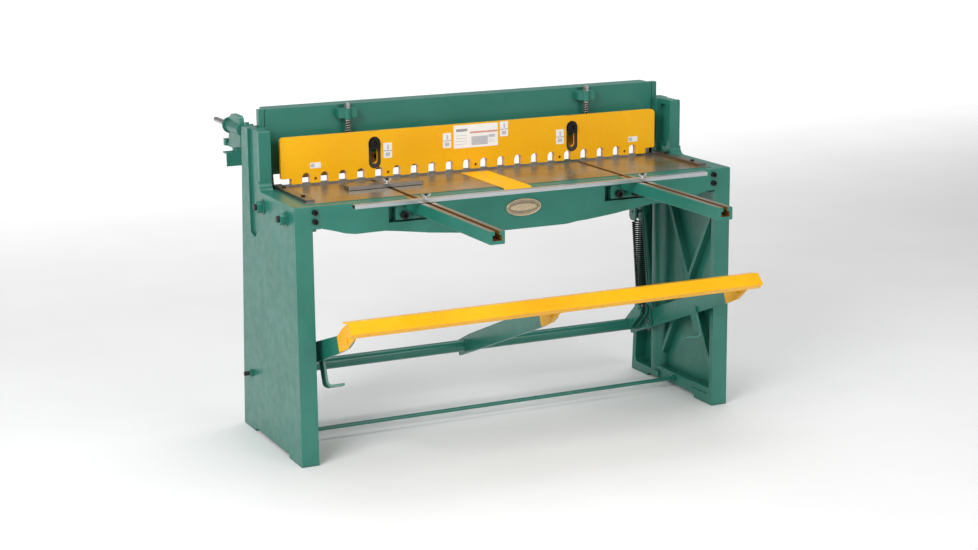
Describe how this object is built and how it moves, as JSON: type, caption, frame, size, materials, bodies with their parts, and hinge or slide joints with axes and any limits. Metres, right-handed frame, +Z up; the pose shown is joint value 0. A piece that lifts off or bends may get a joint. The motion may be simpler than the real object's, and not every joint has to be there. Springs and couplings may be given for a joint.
{
  "type": "treadle squaring shear",
  "caption": "Foot-operated squaring shear: cast side frames and bed, sliding raked blade beam, comb hold-down, sprung treadle, T-slot arms and front and back gauges.",
  "frame": {"origin": "Middle of the four anchor holes, on the floor: midway between the side frames and midway between the front and back holes", "axes": "+X along the blades to the operator's right, -Y towards the operator, +Z up"},
  "size_m": [1.654, 1.805, 1.106],
  "materials": {
    "green_enamel": "machine enamel over cast iron and steel",
    "yellow_enamel": "gloss machine enamel",
    "bright_steel": "ground or cold-drawn bright steel",
    "plated_fasteners": "zinc plate",
    "bronze": "machined bearing bronze",
    "badge": "cast plate, satin",
    "black_springs": "oil-blackened spring wire",
    "black_oxide": "black oxide"
  },
  "bodies": {
    "root": {"right_side_frame": "green_enamel", "left_side_frame": "green_enamel", "guide_gibs": "bronze", "gib_screws": "black_oxide", "frame_bolts": "green_enamel", "ear_screws": "black_oxide", "tie_rod": "green_enamel", "tie_rod_nuts": "plated_fasteners", "pivot_screws": "black_oxide", "pivot_jam_nuts": "green_enamel", "bed_casting": "green_enamel", "lower_blade": "bright_steel", "lower_blade_screws": "black_oxide", "badge_plate": "badge", "side_gauges": "bright_steel", "side_gauge_screws": "black_oxide", "guide_strip": "yellow_enamel", "arm_screws": "black_oxide", "left_extension_arm": "green_enamel", "right_extension_arm": "green_enamel", "spring_hangers": "green_enamel"},
    "treadle_assembly": {"torque_tube": "green_enamel", "tube_bushes": "bright_steel", "left_treadle_arm": "green_enamel", "middle_treadle_arm": "green_enamel", "right_treadle_arm": "green_enamel", "treadle_board": "yellow_enamel", "board_gussets": "yellow_enamel", "gusset_bolts": "yellow_enamel", "stop_straps": "green_enamel", "spring_lugs": "green_enamel", "lever_pins": "plated_fasteners"},
    "crosshead_assembly": {"crosshead": "green_enamel", "crosshead_ribs": "green_enamel", "upper_blade": "bright_steel", "upper_blade_screws": "black_oxide", "link_pins": "plated_fasteners", "hold_down_guide_bolts": "black_oxide", "gauge_rods": "bright_steel"},
    "hold_down_assembly": {"hold_down": "yellow_enamel", "hold_down_studs": "plated_fasteners", "hold_down_springs": "black_springs"},
    "left_link": {"left_link_clevis": "green_enamel", "left_link_rod": "green_enamel"},
    "right_link": {"right_link_clevis": "green_enamel", "right_link_rod": "green_enamel"},
    "left_spring": {"left_return_spring": "black_springs"},
    "right_spring": {"right_return_spring": "black_springs"},
    "left_spring_eye": {"left_spring_hook": "black_springs"},
    "right_spring_eye": {"right_spring_hook": "black_springs"},
    "front_gauge": {"front_gauge_bar": "bright_steel", "front_gauge_bolts": "black_oxide"},
    "left_front_nut": {"left_wing_nut": "plated_fasteners"},
    "right_front_nut": {"right_wing_nut": "plated_fasteners"},
    "short_gauge": {"short_gauge_bar": "bright_steel", "short_gauge_bolt": "black_oxide"},
    "short_gauge_nut": {"short_gauge_wing_nut": "plated_fasteners"},
    "back_gauge": {"back_gauge_bar": "green_enamel", "back_gauge_clamps": "green_enamel", "back_gauge_collars": "green_enamel"}
  },
  "joints": [
    {"name": "treadle_pivot", "type": "hinge", "parent": "root", "child": "treadle_assembly", "pos_m": [0, 0.181, 0.202], "axis": [1, 0, 0], "range_deg": [0, 32], "stiffness_Nm_per_rad": 150, "springref_deg": -97.4},
    {"name": "crosshead_slide", "type": "slide", "parent": "root", "child": "crosshead_assembly", "axis": [0, 0, -1], "range_m": [0, 0.05553], "deforming": ["hold_down_springs"]},
    {"name": "hold_down_slide", "type": "slide", "parent": "root", "child": "hold_down_assembly", "axis": [0, 0, -1], "range_m": [0, 0.0051]},
    {"name": "left_link_pivot", "type": "hinge", "parent": "treadle_assembly", "child": "left_link", "pos_m": [-0.704, 0.08455, 0.22973], "axis": [1, 0, 0], "range_deg": [-32.5, 0]},
    {"name": "left_spring_swing", "type": "hinge", "parent": "root", "child": "left_spring", "pos_m": [-0.664, 0.129, 0.634], "axis": [1, 0, 0], "range_deg": [-3.4, 0]},
    {"name": "left_spring_stretch", "type": "slide", "parent": "left_spring", "child": "left_spring_eye", "axis": [0, -0.1244, -0.9922], "range_m": [0, 0.0665]},
    {"name": "right_link_pivot", "type": "hinge", "parent": "treadle_assembly", "child": "right_link", "pos_m": [0.704, 0.08455, 0.22973], "axis": [1, 0, 0], "range_deg": [-32.5, 0]},
    {"name": "right_spring_swing", "type": "hinge", "parent": "root", "child": "right_spring", "pos_m": [0.664, 0.129, 0.634], "axis": [1, 0, 0], "range_deg": [-3.4, 0]},
    {"name": "right_spring_stretch", "type": "slide", "parent": "right_spring", "child": "right_spring_eye", "axis": [0, -0.1244, -0.9922], "range_m": [0, 0.0665]},
    {"name": "front_gauge_slide", "type": "slide", "parent": "root", "child": "front_gauge", "axis": [0, 1, 0], "range_m": [-0.48, 0.065]},
    {"name": "left_front_nut_turn", "type": "hinge", "parent": "front_gauge", "child": "left_front_nut", "pos_m": [-0.391, -0.385, 0.8605], "axis": [0, 0, 1], "range_deg": [-180, 180]},
    {"name": "right_front_nut_turn", "type": "hinge", "parent": "front_gauge", "child": "right_front_nut", "pos_m": [0.391, -0.385, 0.8605], "axis": [0, 0, 1], "range_deg": [-180, 180]},
    {"name": "short_gauge_slide", "type": "slide", "parent": "root", "child": "short_gauge", "axis": [0, 1, 0], "range_m": [-0.17, 0.07]},
    {"name": "short_gauge_nut_turn", "type": "hinge", "parent": "short_gauge", "child": "short_gauge_nut", "pos_m": [-0.391, -0.065, 0.8605], "axis": [0, 0, 1], "range_deg": [-180, 180]},
    {"name": "back_gauge_slide", "type": "slide", "parent": "crosshead_assembly", "child": "back_gauge", "axis": [0, 1, 0], "range_m": [-0.28, 0.1]}
  ],
  "couplings": [
    {"joint": "crosshead_slide", "follows": "treadle_pivot", "m_per_rad": 0.099073},
    {"joint": "hold_down_slide", "follows": "treadle_pivot", "m_per_rad": 0.008952},
    {"joint": "left_link_pivot", "follows": "treadle_pivot", "ratio": -1.007},
    {"joint": "left_spring_swing", "follows": "treadle_pivot", "ratio": -0.10312},
    {"joint": "left_spring_stretch", "follows": "treadle_pivot", "m_per_rad": 0.11817},
    {"joint": "right_link_pivot", "follows": "treadle_pivot", "ratio": -1.007},
    {"joint": "right_spring_swing", "follows": "treadle_pivot", "ratio": -0.10312},
    {"joint": "right_spring_stretch", "follows": "treadle_pivot", "m_per_rad": 0.11817}
  ]
}
